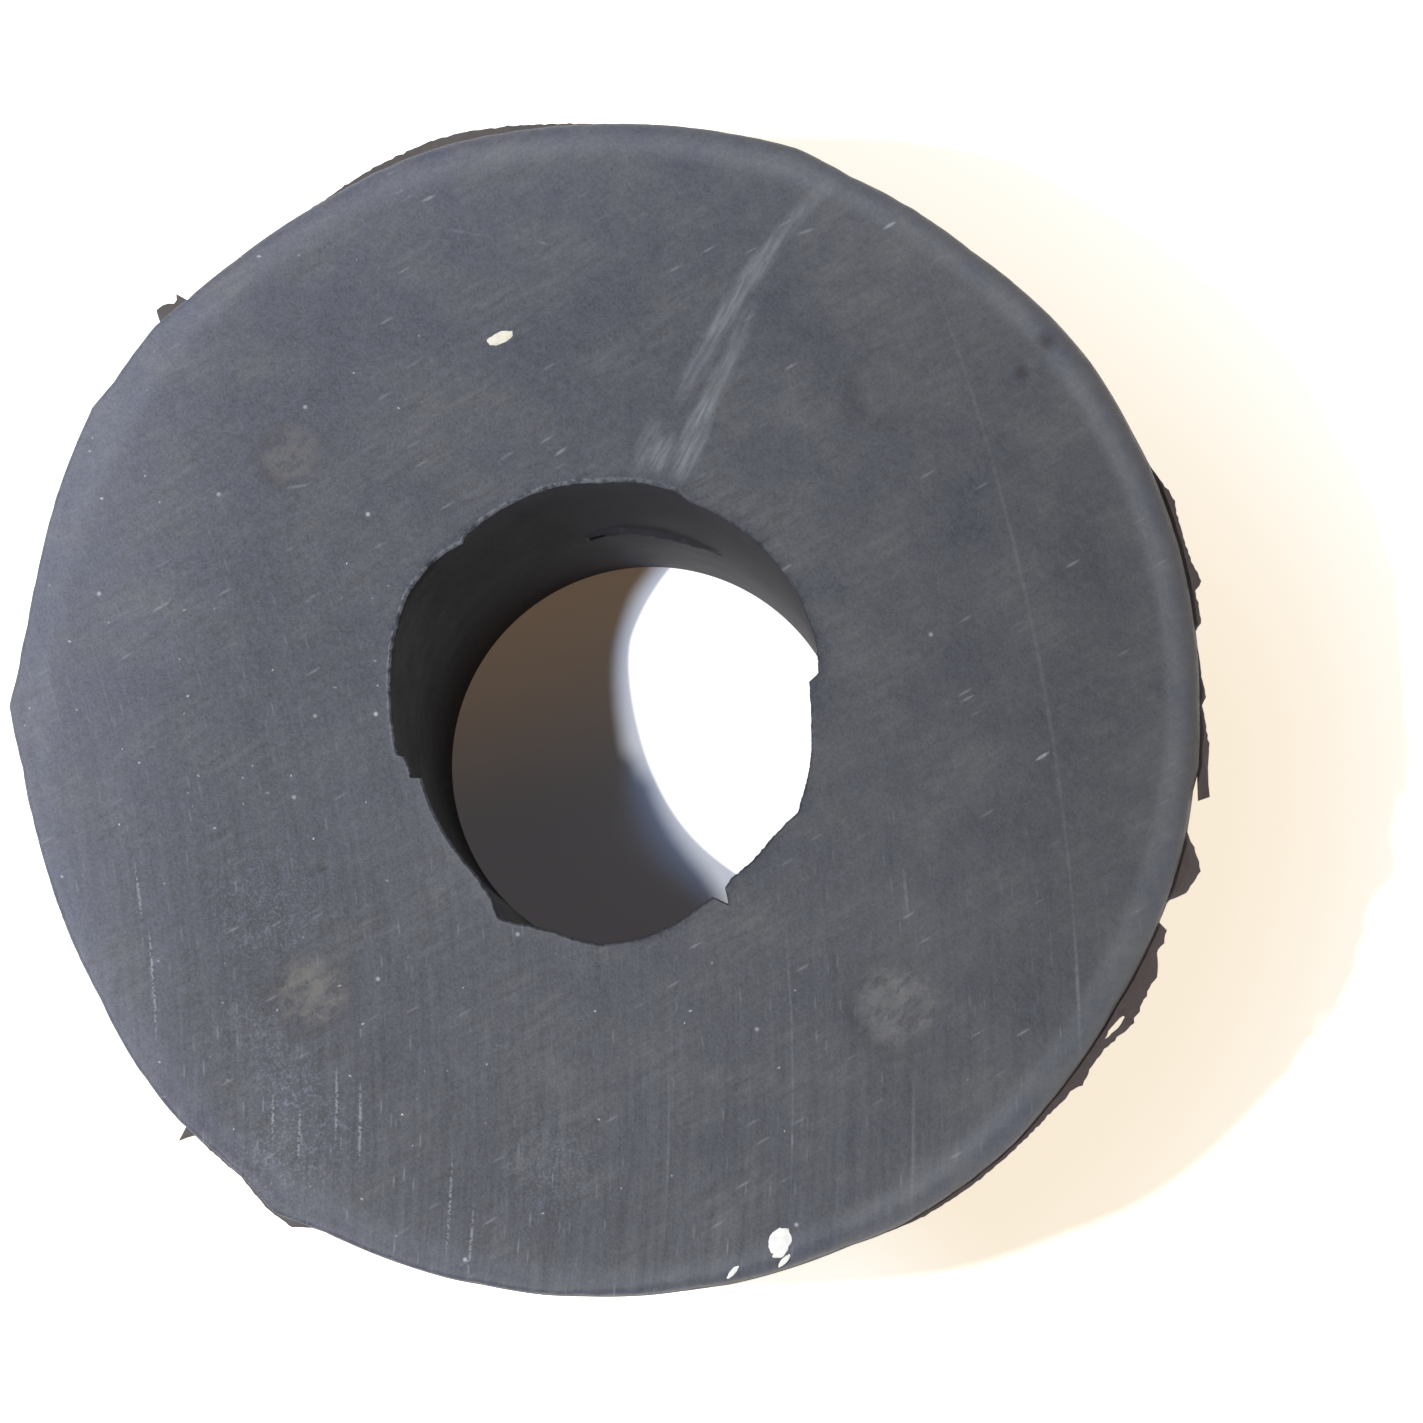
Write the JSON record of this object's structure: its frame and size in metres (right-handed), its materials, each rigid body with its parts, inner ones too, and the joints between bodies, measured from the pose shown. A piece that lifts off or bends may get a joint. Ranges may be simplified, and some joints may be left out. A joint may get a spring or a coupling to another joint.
{
  "type": "sway bar bushing",
  "caption": "Round moulded rubber bushing with a through bore for a link bolt, flat ends, a drafted outer wall and a ragged fringe of moulding flash round its upper edge.",
  "frame": {"origin": "on the bore's axis at the lower flat end, on which the ring stands", "axes": "+Z along the bore, out of the upper end with the flash fringe; +X towards the torn stretch of the flash"},
  "size_m": [0.0306, 0.0301, 0.016],
  "materials": {
    "rubber": "matt moulded black rubber with a grey bloom, fine scratches and chalky dust"
  },
  "bodies": {
    "root": {"bushing": "rubber"}
  },
  "joints": []
}
